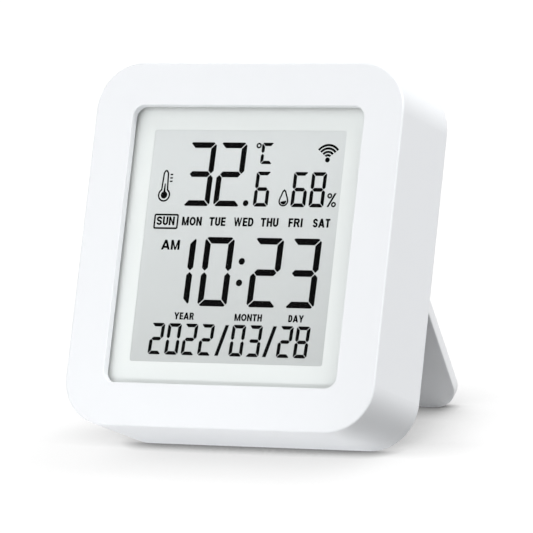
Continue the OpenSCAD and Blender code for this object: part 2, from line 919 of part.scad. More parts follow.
module rear_cover() {
    tail_gap = 2 * fit_gap;
    tail_half = tail_w / 2 + tail_gap;
    tail_x = bay_l / 2 - contact_t;
    latch_half = latch_w / 2 + swing_gap;
    dish_r = 9;
    dish_depth = 1.2;
    color("white")
        standing()
            difference() {
                cover_blank();
                heel_pocket();
                stand_recess();
                box([-bay_l / 2, y_bay, bay_z0], [bay_l / 2, big, bay_z0 + bay_h]);
                box([-door_slot_w / 2, y_seat, door_z0 - swing_gap],
                    [door_slot_w / 2, big, door_z1 + swing_gap]);
                box([-latch_half, y_seat + door_lift - latch_l - swing_gap, bay_z0 + bay_h - thin],
                    [latch_half, big, door_z1 + swing_gap]);
                rod(door_axis_y, door_axis_z, door_barrel_r + swing_gap, -door_slot_w / 2, door_slot_w / 2);
                rod(door_axis_y, door_axis_z, door_pin_r + pin_gap, -door_w / 2 - door_pin_l - swing_gap,
                    door_w / 2 + door_pin_l + swing_gap);
                rod(hinge_y, hinge_z, peg_r + pin_gap, -tongue_w / 2 - peg_l - swing_gap,
                    tongue_w / 2 + peg_l + swing_gap);
                at_cover_screws() {
                    post(0, 0, cover_screw_r + fit_gap, boss_top - thin, case_d);
                    post(0, 0, post_bore_r, boss_top + post_floor, case_d + thin);
                }
                for (s = [-1, 1])
                    translate([-tail_x, 0, bay_mid_z + s * cell_pitch / 2])
                        box([-tail_gap - contact_t, y_bay - bay_floor - thin, -tail_half],
                            [tail_gap, y_bay + thin, tail_half]);
                vent_slots();
                post(button_x, row_z, button_r + fit_gap, y_panel - thin, case_d + thin);
                rod(y_recess + dish_r - dish_depth, side_wall + stand_gap + notch_h / 2, dish_r,
                    -notch_r, notch_r);
            }
}

module cover_screws() {
    seat = boss_top + post_floor;
    color("silver")
        standing()
            at_cover_screws() {
                post(0, 0, cover_screw_r, seat - cover_screw_l, seat);
                post(0, 0, cover_head_r, seat, seat + cover_head_h);
            }
}

// Places a child at each cell's middle line, the lower one turned end for end
module at_cells() {
    for (turn = [0, 1])
        translate([0, cell_y, bay_mid_z + (turn - 0.5) * cell_pitch])
            rotate([0, 0, 180 * turn])
                children();
}

module battery_cells() {
    edge_r = 0.6;
    nub_x = contact_t + fit_gap / 2 - bay_l / 2;
    color("steelblue")
        standing()
            at_cells()
                translate([nub_x, 0, 0])
                    rotate([0, 90, 0])
                        rotate_extrude()
                            difference() {
                                union() {
                                    square([nub_r, cell_l]);
                                    translate([0, nub_l])
                                        square([cell_d / 2, cell_l - nub_l]);
                                }
                                translate([cell_d / 2, nub_l])
                                    mirror([1, 0])
                                        corner_waste(edge_r);
                                translate([cell_d / 2, cell_l])
                                    rotate(180)
                                        corner_waste(edge_r);
                            }
}

// Contact plate at a bay end, with a tail down to the board where it has one
module contact_plate(side, z0, z1, tail_z = undef) {
    x0 = side < 0 ? -bay_l / 2 : bay_l / 2 - contact_t;
    box([x0, y_bay + fit_gap, z0], [x0 + contact_t, cell_y + contact_w / 2, z1]);
    if (!is_undef(tail_z))
        box([x0, y_board_back, tail_z - tail_w / 2], [x0 + contact_t, cell_y, tail_z + tail_w / 2]);
}

module positive_contact() {
    z = bay_mid_z - cell_pitch / 2;
    color("silver")
        standing()
            contact_plate(-1, z - contact_w / 2, z + contact_w / 2, z);
}

module negative_contact() {
    z = bay_mid_z + cell_pitch / 2;
    color("silver")
        standing()
            contact_plate(-1, z - contact_w / 2, z + contact_w / 2, z);
}

module bridge_contact() {
    half = (cell_pitch + contact_w) / 2;
    color("silver")
        standing()
            contact_plate(1, bay_mid_z - half, bay_mid_z + half);
}

// Wire of one contact spring, from its plate to the cell, straight for one diameter at both ends
spring_l = spring_room - fit_gap / 2;
rings_per_turn = 12;
rings = spring_turns * rings_per_turn;
lead = 2 * wire_r;
function spring_r(i) = spring_base_r + (spring_tip_r - spring_base_r) * i / rings;
function spring_point(i) =
    let (a = 360 * i / rings_per_turn, x = lead + (spring_l - 2 * lead) * i / rings)
    [x, spring_r(i) * cos(a), spring_r(i) * sin(a)];
spring_path = concat(
    [[0, spring_base_r, 0]],
    [for (i = [0 : rings]) spring_point(i)],
    [[spring_l, spring_tip_r, 0]]
);
wire_sides = 6;
function wire_ring(i) =
    let (
        last = len(spring_path) - 1,
        step = spring_path[min(i + 1, last)] - spring_path[max(i - 1, 0)],
        run = (i == 0 || i == last) ? [1, 0, 0] : step / norm(step),
        a = atan2(spring_path[i][2], spring_path[i][1]),
        out = [0, cos(a), sin(a)],
        flat_out = out - (out * run) * run,
        u = flat_out / norm(flat_out),
        v = cross(run, u)
    )
    [for (k = [0 : wire_sides - 1])
        spring_path[i] + wire_r * (cos(360 * k / wire_sides) * u + sin(360 * k / wire_sides) * v)];
spring_gap = min([
    for (i = [0 : rings - rings_per_turn / 2], j = [i + rings_per_turn / 2 : rings])
        norm(spring_point(i) - spring_point(j))
]) - 2 * wire_r;
echo(least_gap_in_contact_spring = spring_gap);

module contact_spring() {
    n = len(spring_path);
    points = [for (i = [0 : n - 1]) each wire_ring(i)];
    start_cap = [for (k = [1 : wire_sides - 2]) [0, k, k + 1]];
    tip = (n - 1) * wire_sides;
    end_cap = [for (k = [1 : wire_sides - 2]) [tip, tip + k + 1, tip + k]];
    walls = [
        for (i = [0 : n - 2], k = [0 : wire_sides - 1])
            let (a = i * wire_sides + k, b = i * wire_sides + (k + 1) % wire_sides)
            each [[a, a + wire_sides, b], [b, a + wire_sides, b + wire_sides]]
    ];
    polyhedron(points, concat(start_cap, walls, end_cap));
}

module contact_springs() {
    color("silver")
        standing()
            at_cells()
                translate([bay_l / 2 - contact_t, 0, 0])
                    mirror([1, 0, 0])
                        contact_spring();
}

module battery_door() {
    scoop_r = 7;
    scoop_depth = 0.7;
    scoop_w = 13;
    scoop_drop = 4;
    scoop_z = door_z1 - scoop_drop;
    color("white")
        standing()
            difference() {
                union() {
                    bar(-door_w / 2, door_w / 2) {
                        translate([case_d - door_t, door_axis_z])
                            square([door_t, door_z1 - door_axis_z]);
                        translate([door_axis_y, door_axis_z])
                            circle(door_barrel_r);
                    }
                    box([-latch_w / 2, case_d - door_t - latch_l, door_z1 - fit_gap - latch_t],
                        [latch_w / 2, case_d - door_t / 2, door_z1 - fit_gap]);
                    rod(door_axis_y, door_axis_z, door_pin_r, -door_w / 2 - door_pin_l,
                        door_w / 2 + door_pin_l);
                }
                for (s = [-1, 1])
                    translate([s * door_w / 2, 0, door_z1])
                        rotate([0, s > 0 ? 180 : 90, 0])
                            slab(0, big)
                                corner_waste(door_corner_r);
                rod(case_d + scoop_r - scoop_depth, scoop_z, scoop_r, -scoop_w / 2, scoop_w / 2);
            }
}

// The stand about its hinge axis, folded
module folded_stand() {
    foot_slab_h = stand_l + heel_l + 2 * foot_corner_r;
    tongue_h = heel_l + shoulder + 2 * tongue_corner_r;
    difference() {
        union() {
            difference() {
                translate([0, stand_front, foot_slab_h / 2 - stand_l])
                    soft_slab(stand_w, foot_slab_h, stand_t, foot_corner_r, stand_edge_r, stand_edge_r);
                box([-big, -big, -shoulder], [big, big, big]);
            }
            translate([0, stand_front, heel_l - tongue_h / 2])
                soft_slab(tongue_w, tongue_h, stand_t, tongue_corner_r, stand_edge_r, stand_edge_r);
        }
        post(0, notch_h - notch_r - stand_l, notch_r, -big, big);
    }
    rod(0, 0, peg_r, -tongue_w / 2 - peg_l, tongue_w / 2 + peg_l);
}

module stand() {
    color("white")
        standing()
            translate([0, hinge_y, hinge_z])
                rotate([stand_angle, 0, 0])
                    folded_stand();
}

front_housing();
window_lens();
window_tape();
window_border();
lcd_front_polariser();
lcd_front_glass();
lcd_rear_glass();
lcd_reflector();
lcd_frame();
zebra_strips();
main_board();
board_screws();
controller_chip();
clock_crystal();
storage_capacitor();
board_passives();
wireless_board();
wireless_shield();
sensor_board();
sensor_chip();
sensor_header();
switch_base();
switch_plunger();
set_button();
rear_cover();
cover_screws();
battery_cells();
positive_contact();
negative_contact();
bridge_contact();
contact_springs();
battery_door();
stand();
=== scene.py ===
import json
import math

import bmesh
import bpy
from mathutils import Matrix, Vector


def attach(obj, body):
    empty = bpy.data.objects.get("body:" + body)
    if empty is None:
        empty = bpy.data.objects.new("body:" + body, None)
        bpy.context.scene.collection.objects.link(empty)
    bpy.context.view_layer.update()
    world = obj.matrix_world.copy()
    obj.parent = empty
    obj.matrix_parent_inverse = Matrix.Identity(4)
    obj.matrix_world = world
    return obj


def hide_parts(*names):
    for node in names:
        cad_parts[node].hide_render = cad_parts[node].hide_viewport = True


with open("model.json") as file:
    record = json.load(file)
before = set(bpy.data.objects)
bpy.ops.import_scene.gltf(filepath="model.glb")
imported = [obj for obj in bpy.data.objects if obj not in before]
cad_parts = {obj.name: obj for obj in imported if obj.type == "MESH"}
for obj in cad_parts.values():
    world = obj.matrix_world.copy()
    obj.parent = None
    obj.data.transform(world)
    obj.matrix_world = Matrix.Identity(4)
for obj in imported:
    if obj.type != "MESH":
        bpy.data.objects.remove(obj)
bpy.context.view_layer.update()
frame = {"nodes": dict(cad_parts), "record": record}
nodes = frame["nodes"]

# The viewpoint. The case leans back on its stand, so places are given in the case's own axes, in
# millimetres: x across, y back from the front face, z up from the underside. A long lens looks at
# the front from the right and from a little above, and is turned slightly about its own axis.
MM = 0.001
underside = frame["record"]["mounts"][0]
lean = math.atan2(-underside["axis"][1], -underside["axis"][2])
upright = Matrix.Rotation(lean, 3, "X")
depths = [(upright @ v.co).y for v in nodes["front_housing"].data.vertices]
half_depth = (max(depths) - min(depths)) / 2
case_axes = (
    Matrix.Translation(underside["pos_m"])
    @ Matrix.Rotation(-lean, 4, "X")
    @ Matrix.Translation((0, -half_depth, 0))
    @ Matrix.Scale(MM, 4)
)

camera_turn = math.radians(28.037)
camera_rise = math.radians(15.549)
camera_roll = math.radians(-6.989)
camera_distance = 1046.2
aim = Vector((8.09, 0, 33.17))

bpy.ops.object.select_all(action="DESELECT")
bpy.ops.object.camera_add()
camera = bpy.context.object
camera.name = "viewpoint"
camera.data.sensor_width = 36
camera.data.lens = 354.14
camera.matrix_world = (
    Matrix.Translation(case_axes @ aim)
    @ Matrix.Rotation(camera_turn, 4, "Z")
    @ Matrix.Rotation(math.pi / 2 - camera_rise, 4, "X")
    @ Matrix.Rotation(camera_roll, 4, "Z")
    @ Matrix.Translation((0, 0, camera_distance * MM))
)
bpy.context.scene.camera = camera


# The front housing: a tub of white ABS, frame and side walls in one moulding. Its mould was eroded to
# a fine satin grain, so the surface scatters light softly and shows no sharp reflection.
class Wire:
    """One socket of a material's nodes. Sums, differences and products of wires add Math nodes."""

    def __init__(self, tree, socket=None):
        self.tree = tree
        self.socket = socket

    def node(self, kind, settings=None, sockets=None, out=0):
        """Adds a node, makes its settings, fills its sockets with values or wires, gives one output."""
        made = self.tree.nodes.new(kind)
        for name, value in (settings or {}).items():
            setattr(made, name, value)
        for name, value in (sockets or {}).items():
            if isinstance(value, Wire):
                self.tree.links.new(value.socket, made.inputs[name])
            else:
                made.inputs[name].default_value = value
        return Wire(self.tree, made.outputs[out] if made.outputs else None)

    def math(self, operation, first, second):
        return self.node("ShaderNodeMath", {"operation": operation}, {0: first, 1: second})

    def __add__(self, other):
        return self.math("ADD", self, other)

    def __radd__(self, other):
        return self.math("ADD", other, self)

    def __sub__(self, other):
        return self.math("SUBTRACT", self, other)

    def __rsub__(self, other):
        return self.math("SUBTRACT", other, self)

    def __mul__(self, other):
        return self.math("MULTIPLY", self, other)

    def __rmul__(self, other):
        return self.math("MULTIPLY", other, self)

    def __pow__(self, other):
        return self.math("POWER", self, other)

    def __gt__(self, other):
        return self.math("GREATER_THAN", self, other)


def start_finish(name):
    """Opens an empty material and gives the wire that its nodes are made with."""
    finish = bpy.data.materials.new(name)
    finish.use_nodes = True
    finish.node_tree.nodes.clear()
    return finish, Wire(finish.node_tree)


def noise(wire, size, detail=2.0):
    """Soft random pattern on the piece itself, with features of about that size in millimetres."""
    place = wire.node("ShaderNodeTexCoord", out="Object")
    sockets = {"Vector": place, "Scale": 1 / (size * MM), "Detail": detail}
    return wire.node("ShaderNodeTexNoise", sockets=sockets)


def blend(wire, mask, first, second):
    """Colour that goes from the first to the second as the mask goes from 0 to 1."""
    sockets = {0: mask, 6: (*first, 1), 7: (*second, 1)}
    return wire.node("ShaderNodeMix", {"data_type": "RGBA"}, sockets, out=2)


def close_finish(wire, sockets):
    """Closes a material with a plain surface that has these values and wires on its sockets."""
    surface = wire.node("ShaderNodeBsdfPrincipled", sockets=sockets)
    wire.node("ShaderNodeOutputMaterial", sockets={"Surface": surface})


def moulded_plastic(name, colour, roughness=0.42, grain=0.2, relief=0.12):
    """Moulded plastic: a faint cloud in its colour and the eroded grain of its mould."""
    grain_depth = 0.01
    cloud_size = 12
    cloud_shade = 0.985
    finish, wire = start_finish(name)
    pattern = noise(wire, grain)
    duller = tuple(c * cloud_shade for c in colour)
    bump = {"Strength": relief, "Distance": grain_depth * MM, "Height": pattern}
    close_finish(wire, {
        "Base Color": blend(wire, noise(wire, cloud_size), duller, colour),
        "Roughness": roughness + 0.1 * (pattern - 0.5),
        "Specular IOR Level": 0.4,
        "Normal": wire.node("ShaderNodeBump", sockets=bump),
    })
    return finish


def dress(node, finish):
    """Gives a CAD node its finish."""
    for slot in nodes[node].material_slots:
        slot.material = finish


case_white = (0.845, 0.86, 0.88)
dress("front_housing", moulded_plastic("satin_white_abs", case_white))


# The window: a clear acrylic plate behind the frame, bonded by a thin adhesive ring. A white border is
# screen printed on the back of the plate and leaves the display free.
def clear_plate(name, tint, gloss, edge_gloss):
    """Clear sheet: it lets light straight through and reflects more at a glancing angle."""
    finish, wire = start_finish(name)
    glance = wire.node("ShaderNodeLayerWeight", sockets={"Blend": 0.5}, out="Facing")
    haze = 0.04 + 0.04 * noise(wire, 6)
    through = wire.node("ShaderNodeBsdfTransparent", sockets={"Color": (*tint, 1)})
    shine = wire.node("ShaderNodeBsdfPrincipled", sockets={"Base Color": (*tint, 1), "Roughness": haze})
    mirror = gloss + edge_gloss * glance ** 4.0
    surface = wire.node("ShaderNodeMixShader", sockets={0: mirror, 1: through, 2: shine})
    wire.node("ShaderNodeOutputMaterial", sockets={"Surface": surface})
    return finish


def printed_film(name, colour, roughness, speckle, speckle_size, gloss=0.3):
    """Printed or laminated film: an even colour broken by a very fine speckle."""
    finish, wire = start_finish(name)
    duller = tuple(c * (1 - speckle) for c in colour)
    fine = noise(wire, speckle_size, 3.0)
    close_finish(wire, {
        "Base Color": blend(wire, fine, duller, colour),
        "Roughness": roughness + 0.05 * (fine - 0.5),
        "Specular IOR Level": gloss,
    })
    return finish


acrylic_tint = (0.985, 0.99, 0.988)
ink_white = (0.88, 0.895, 0.89)
tape_and_gap_shade_grey = (0.3, 0.3, 0.3)
dress("window_lens", clear_plate("clear_acrylic", acrylic_tint, gloss=0.002, edge_gloss=0.3))
# The ring's dark grey is partly its own colour and partly painted shade, for the shade in the gap at the
# foot of the recess wall.
dress("window_tape", printed_film("adhesive_ring", tape_and_gap_shade_grey, 0.7, speckle=0.1, speckle_size=0.4))
dress("window_border", printed_film("white_ink_border", ink_white, 0.5, speckle=0.015, speckle_size=0.3))

# The display: a grey polariser on two panes of glass, with a brushed reflector behind them. Its grey is
# painted darker towards its lower edge, nearer the floor: painted shade. A white holder clips it in
# front of the board, and two rubber strips carry its contacts.
painted_shade_grey = (0.602, 0.614, 0.614)
polariser_grey = (0.768, 0.783, 0.788)
shade_full_below = 20 * MM
shade_fade_per_metre = 22.0
glass_tint = (0.93, 0.96, 0.95)
finish, wire = start_finish("grey_polariser")
place = wire.node("ShaderNodeTexCoord", out="Object")
rise = wire.node("ShaderNodeSeparateXYZ", sockets={0: place}, out="Z")
# Painted shade: the grey is darkest up to this height over the floor and reaches its own grey about 45 mm
# higher, with a faint random tone on top.
shade = (rise - shade_full_below) * shade_fade_per_metre + 0.1 * (noise(wire, 0.25, 3.0) - 0.5)
close_finish(wire, {
    "Base Color": blend(wire, shade, painted_shade_grey, polariser_grey),
    "Roughness": 0.5,
    "Specular IOR Level": 0.2,
})
dress("lcd_front_polariser", finish)
dress("lcd_front_glass", clear_plate("display_glass", glass_tint, gloss=0.03, edge_gloss=0.5))
dress("lcd_rear_glass", clear_plate("display_rear_glass", glass_tint, gloss=0.03, edge_gloss=0.5))
dress("lcd_frame", moulded_plastic("holder_white_plastic", (0.8, 0.8, 0.79)))


def bare_metal(name, colour, roughness, stretch):
    """Rolled or plated metal, with fine lines drawn out along the stretch."""
    line_size = 0.3
    finish, wire = start_finish(name)
    place = wire.node("ShaderNodeTexCoord", out="Object")
    drawn = wire.node("ShaderNodeMapping", sockets={"Vector": place, "Scale": stretch})
    sockets = {"Vector": drawn, "Scale": 1 / (line_size * MM), "Detail": 3.0}
    lines = wire.node("ShaderNodeTexNoise", sockets=sockets)
    duller = tuple(c * 0.88 for c in colour)
    close_finish(wire, {
        "Base Color": blend(wire, lines, duller, colour),
        "Metallic": 1.0,
        "Roughness": roughness + 0.15 * (lines - 0.5),
    })
    return finish


rubber_black = (0.06, 0.06, 0.065)
dress("lcd_reflector", bare_metal("brushed_reflector", (0.8, 0.8, 0.8), 0.4, stretch=(0.05, 1, 1)))
dress("zebra_strips", printed_film("layered_rubber", rubber_black, 0.8, speckle=0.5, speckle_size=0.15))


# The figures on the display: liquid crystal that turns black where it is driven, here as shapes a few
# hundredths of a millimetre thick on the polariser. They are drawn flat, in millimetres, and laid down.
def case_box(node):
    """Lowest and highest corner of a CAD node in the case's own axes, in millimetres."""
    points = [case_axes.inverted() @ v.co for v in nodes[node].data.vertices]
    low = Vector([min(p[i] for p in points) for i in range(3)])
    high = Vector([max(p[i] for p in points) for i in range(3)])
    return low, high


figure_t = 0.02
polariser_y = case_box("lcd_front_polariser")[0].y
lay_down = case_axes @ Matrix.Translation((0, polariser_y, 0)) @ Matrix.Rotation(math.pi / 2, 4, "X")
crystal_black = (0.002, 0.002, 0.002)
figure_black = printed_film(
    "driven_crystal_black", crystal_black, 0.9, speckle=0.5, speckle_size=0.2, gloss=0.0
)


def start_drawing(name):
    """Opens an empty mesh for a drawing."""
    bpy.ops.object.select_all(action="DESELECT")
    drawing = bpy.data.objects.new(name, bpy.data.meshes.new(name))
    bpy.context.scene.collection.objects.link(drawing)
    bpy.context.view_layer.objects.active = drawing
    drawing.select_set(True)
    bpy.ops.object.mode_set(mode="EDIT")
    return drawing


def set_aside():
    """Hides what is drawn so far, so that the next shape is worked on alone."""
    bpy.ops.mesh.select_all(action="SELECT")
    bpy.ops.mesh.hide()


def pick(wanted):
    """Selects the points in sight of the open mesh that are wanted, by their place."""
    mesh = bmesh.from_edit_mesh(bpy.context.edit_object.data)
    for point in mesh.verts:
        point.select_set(not point.hide and wanted(point.co))
    mesh.select_flush_mode()
    bmesh.update_edit_mesh(bpy.context.edit_object.data)


def lay_figures(drawing, slant=0.0, about=0.0):
    """Slants a drawing about a height, gives it its thickness and lays it on the display."""
    bpy.ops.mesh.reveal()
    bpy.ops.mesh.select_all(action="SELECT")
    bpy.ops.mesh.extrude_region_move(TRANSFORM_OT_translate={"value": (0, 0, figure_t)})
    bpy.ops.mesh.select_all(action="SELECT")
    bpy.ops.mesh.normals_make_consistent(inside=False)
    bpy.ops.object.mode_set(mode="OBJECT")
    lean_over = Matrix.Identity(4)
    lean_over[0][1] = slant
    lean_over[0][3] = -slant * about
    drawing.data.transform(lay_down @ lean_over)
    drawing.data.materials.append(figure_black)
    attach(drawing, "case")


def draw_bar(left, low, right, high, cuts=()):
    """Draws a bar and cuts corners off it at 45 degrees, each given as side, end and length."""
    set_aside()
    middle = ((left + right) / 2, (low + high) / 2, 0)
    bpy.ops.mesh.primitive_plane_add(size=1, location=middle)
    bpy.ops.transform.resize(value=(right - left, high - low, 1), center_override=middle)
    for side, end, length in cuts:
        corner = Vector(((left, right)[side], (low, high)[end], 0))
        pick(lambda place: (place - corner).length < figure_t)
        bpy.ops.mesh.bevel(offset=length, offset_type="OFFSET", affect="VERTICES", segments=1)


lit_bars = {
    "0": "abcdef", "1": "bc", "2": "abged", "3": "abgcd", "6": "afgedc", "8": "abcdefg", "C": "afed",
}


def draw_digit(figure, left, low, width, height, stroke):
    """Draws the lit bars of a seven-bar digit: a top, b to f round it, g across the middle."""
    right = left + width
    high = low + height
    middle = low + height / 2
    half = stroke / 2
    gap = 0.33 * stroke
    rest = 0.16 * stroke
    mitre = 0.78 * stroke
    blunt = 0.18 * stroke
    point = 0.44 * stroke
    up_ends = ((0, 0, point), (1, 0, point))
    down_ends = ((0, 1, point), (1, 1, point))
    middle_ends = (*up_ends, *down_ends)
    top_ends = ((0, 0, mitre), (1, 0, mitre), (0, 1, blunt), (1, 1, blunt))
    foot_ends = ((0, 1, mitre), (1, 1, mitre), (0, 0, blunt), (1, 0, blunt))
    bars = {
        "a": (left + gap, high - stroke, right - gap, high, top_ends),
        "b": (right - stroke, middle + rest, right, high - gap, ((0, 1, mitre), (1, 1, blunt), *up_ends)),
        "c": (right - stroke, low + gap, right, middle - rest, ((0, 0, mitre), (1, 0, blunt), *down_ends)),
        "d": (left + gap, low, right - gap, low + stroke, foot_ends),
        "e": (left, low + gap, left + stroke, middle - rest, ((1, 0, mitre), (0, 0, blunt), *down_ends)),
        "f": (left, middle + rest, left + stroke, high - gap, ((1, 1, mitre), (0, 1, blunt), *up_ends)),
        "g": (left + half + rest, middle - half, right - half - rest, middle + half, middle_ends),
    }
    for bar in lit_bars[figure]:
        draw_bar(*bars[bar])


def draw_dot(x, z, radius):
    """Draws a filled round dot."""
    set_aside()
    bpy.ops.mesh.primitive_circle_add(vertices=40, radius=radius, fill_type="NGON", location=(x, z, 0))


def keep_outline(line):
    """Leaves only the outline of the last shape, of that width."""
    bpy.ops.mesh.select_all(action="SELECT")
    bpy.ops.mesh.inset(thickness=line)
    bpy.ops.mesh.delete(type="FACE")


def draw_slash(x_low, low, x_high, high, width):
    """Draws a slanted stroke with level ends."""
    set_aside()
    middle = (x_low, (low + high) / 2, 0)
    bpy.ops.mesh.primitive_plane_add(size=1, location=middle)
    bpy.ops.transform.resize(value=(width, high - low, 1), center_override=middle)
    pick(lambda place: place.y > middle[1])
    bpy.ops.transform.translate(value=(x_high - x_low, 0, 0))


# The temperature: two tall digits of seven bars, a point and a smaller digit, with the degree sign and
# its C over the last one. Each digit's size is its width, height and stroke. As all driven figures, they
# are areas of the crystal between the two panes, and stand a little aslant.
tall_digit = (6.1, 13.2, 1.18)
small_digit = (3.35, 7.2, 0.76)
unit_letter = (2.75, 4.4, 0.68)
temperature = start_drawing("temperature_figures")
for figure, left in (("3", -13.8), ("2", -6.85)):
    draw_digit(figure, left, 45.9, *tall_digit)
draw_dot(0.5, 46.62, 0.62)
draw_digit("6", 2.16, 45.95, *small_digit)
draw_digit("C", 2.58, 54.7, *unit_letter)
draw_dot(1.88, 58.5, 0.58)
keep_outline(0.32)
lay_figures(temperature, slant=0.02, about=52.5)

# The humidity: two digits of the smaller size on the same line, between the drop and the per cent sign,
# driven in the same crystal.
humidity = start_drawing("humidity_figures")
for figure, left in (("6", 10.52), ("8", 14.57)):
    draw_digit(figure, left, 45.95, *small_digit)
lay_figures(humidity, slant=0.015, about=49.5)

# The time: four of the largest digits and a colon of two round dots, across the middle of the panel. The
# first digit is a one with its bars at the right.
clock_digit = (6.65, 14.2, 1.33)
clock = start_drawing("clock_figures")
for figure, left in (("1", -16.55), ("0", -7.9), ("2", 3.2), ("3", 11.65)):
    draw_digit(figure, left, 25.35, *clock_digit)
for height in (34.67, 30.27):
    draw_dot(0.92, height, 0.69)
lay_figures(clock, slant=0.02, about=32.45)

# The date: year, month and day along the foot of the panel, in the thinnest digits, parted by two long
# slashes. It slants more than the other lines.
date_digit = (3.05, 6.45, 0.73)
calendar = start_drawing("calendar_figures")
for figure, left in zip("20220328", (-17.95, -14.15, -10.4, -6.65, 0.4, 4.15, 11.05, 14.8)):
    draw_digit(figure, left, 15.25, *date_digit)
for foot in (-1.6, 9.15):
    draw_slash(foot - 0.75, 15.29, foot + 0.75, 21.59, 0.8)
lay_figures(calendar, slant=0.05, about=18.5)

# The symbols: a thermometer with its mercury, a half full drop, a per cent sign and a fan of radio waves.
# Each is a plain outline in the same crystal, pulled out of round dots.
symbols = start_drawing("display_symbols")
bulb = Vector((-18.4, 48.09, 0))
bulb_r = 1.4
mercury_r = 0.74
draw_dot(bulb.x, bulb.y, bulb_r)
for reach, lift in ((0.75, 3.3), (0.55, 0.3), (0.3, 0.2)):
    pick(lambda place: abs(place.x - bulb.x) < reach and place.y > bulb.y)
    bpy.ops.transform.translate(value=(0, lift, 0))
keep_outline(0.33)
draw_dot(bulb.x, bulb.y, mercury_r)
pick(lambda place: abs(place.x - bulb.x) < 0.22 and place.y > bulb.y)
bpy.ops.transform.translate(value=(0, 1.65, 0))
tick_half = 0.15
for height in (52.36, 51.64, 50.94):
    draw_bar(-17.4, height - tick_half, -16.8, height + tick_half)

drop = Vector((8.82, 47.15, 0))
drop_r = 1.1
water_r = 0.66
draw_dot(drop.x, drop.y, drop_r)
for reach, lift in ((0.95, 0.25), (0.75, 0.3), (0.55, 0.3), (0.35, 0.3), (0.15, 0.25)):
    pick(lambda place: abs(place.x - drop.x) < reach and place.y > drop.y)
    bpy.ops.transform.translate(value=(0, lift, 0))
keep_outline(0.31)
draw_dot(drop.x, drop.y - 0.05, water_r)
bpy.ops.mesh.bisect(plane_co=drop, plane_no=(-0.2, 1, 0), clear_outer=True)

for x, z in ((19.05, 48.35), (20.07, 46.57)):
    draw_dot(x, z, 0.55)
    keep_outline(0.32)
draw_slash(18.8, 46.05, 20.3, 48.9, 0.44)

fan = Vector((17.67, 55.98, 0))
half_angle = math.radians(52)
wave_line = 0.47
draw_dot(fan.x, fan.y - 0.3, 0.52)
for radius in (2.98, 2.3, 1.6, 0.92):
    draw_dot(fan.x, fan.y, radius)
    keep_outline(wave_line)
    for side in (-1, 1):
        bpy.ops.mesh.select_all(action="SELECT")
        edge = (side * math.cos(half_angle), -math.sin(half_angle), 0)
        bpy.ops.mesh.bisect(plane_co=fan, plane_no=edge, clear_outer=True)
lay_figures(symbols)

# Words: the days of the week, the half of the day, and the names over the date, in plain bold capitals.
# Each letter is built of upright stems, level beams, slanted strokes and parts of an oval bowl, on a
# grid from 0 to 1. The first day has a thin box round it, which shows that it is today.
RIGHT = ("left low", "left high")
LOW = ("left high", "right high")
letters = {
    "A": (1.1, [("slash", 0, 0, 0.5, 1), ("slash", 1, 0, 0.5, 1), ("beam", 0.22, 0.2, 0.8)]),
    "D": (0.84, [("stem", 0, 0, 1), ("beam", 0, 0, 0.5), ("beam", 1, 0, 0.5), ("bowl", 0, 0, 1, 1, RIGHT)]),
    "E": (0.7, [("stem", 0, 0, 1), ("beam", 0, 0, 1), ("beam", 0.5, 0, 0.95), ("beam", 1, 0, 1)]),
    "F": (0.66, [("stem", 0, 0, 1), ("beam", 0.5, 0, 0.9), ("beam", 1, 0, 1)]),
    "H": (0.8, [("stem", 0, 0, 1), ("stem", 1, 0, 1), ("beam", 0.52, 0, 1)]),
    "I": (0.24, [("stem", 0, 0, 1)]),
    "M": (1.1, [
        ("stem", 0, 0, 1), ("stem", 1, 0, 1), ("slash", 0.5, 0, 0.06, 1), ("slash", 0.5, 0, 0.94, 1),
    ]),
    "N": (0.86, [("stem", 0, 0, 1), ("stem", 1, 0, 1), ("slash", 0.98, 0, 0.02, 1)]),
    "O": (0.98, [("bowl", 0, 0, 1, 1, ())]),
    "R": (0.88, [
        ("stem", 0, 0, 1), ("beam", 1, 0, 0.56), ("beam", 0.5, 0, 0.56),
        ("bowl", 0.16, 0.42, 0.96, 1, RIGHT), ("slash", 1, 0, 0.58, 0.5),
    ]),
    "S": (0.82, [("bowl", 0, 0.41, 1, 1, ("right low",)), ("bowl", 0, 0, 1, 0.59, ("left high",))]),
    "T": (0.8, [("stem", 0.5, 0, 1), ("beam", 1, 0, 1)]),
    "U": (0.8, [("stem", 0, 0.35, 1), ("stem", 1, 0.35, 1), ("bowl", 0, 0, 1, 0.7, LOW)]),
    "W": (1.32, [
        ("slash", 0.25, 0, 0, 1), ("slash", 0.25, 0, 0.5, 1),
        ("slash", 0.75, 0, 0.5, 1), ("slash", 0.75, 0, 1, 1),
    ]),
    "Y": (1.02, [("stem", 0.5, 0, 0.5), ("slash", 0.5, 0.4, 0, 1), ("slash", 0.5, 0.4, 1, 1)]),
}


def draw_bowl(left, low, right, high, line, gone):
    """Draws an oval ring in a box and takes away the quarters that aren't wanted."""
    middle = Vector(((left + right) / 2, (low + high) / 2, 0))
    draw_dot(middle.x, middle.y, 0.5)
    bpy.ops.transform.resize(value=(right - left, high - low, 1), center_override=middle)
    keep_outline(line)
    for across in ((1, 0, 0), (0, 1, 0)):
        bpy.ops.mesh.select_all(action="SELECT")
        bpy.ops.mesh.bisect(plane_co=middle, plane_no=across)
    for quarter in gone:
        x_way = 1 if "right" in quarter else -1
        z_way = 1 if "high" in quarter else -1
        pick(lambda place: min((place.x - middle.x) * x_way, (place.y - middle.y) * z_way) > -0.0001)
        bpy.ops.mesh.delete(type="FACE")


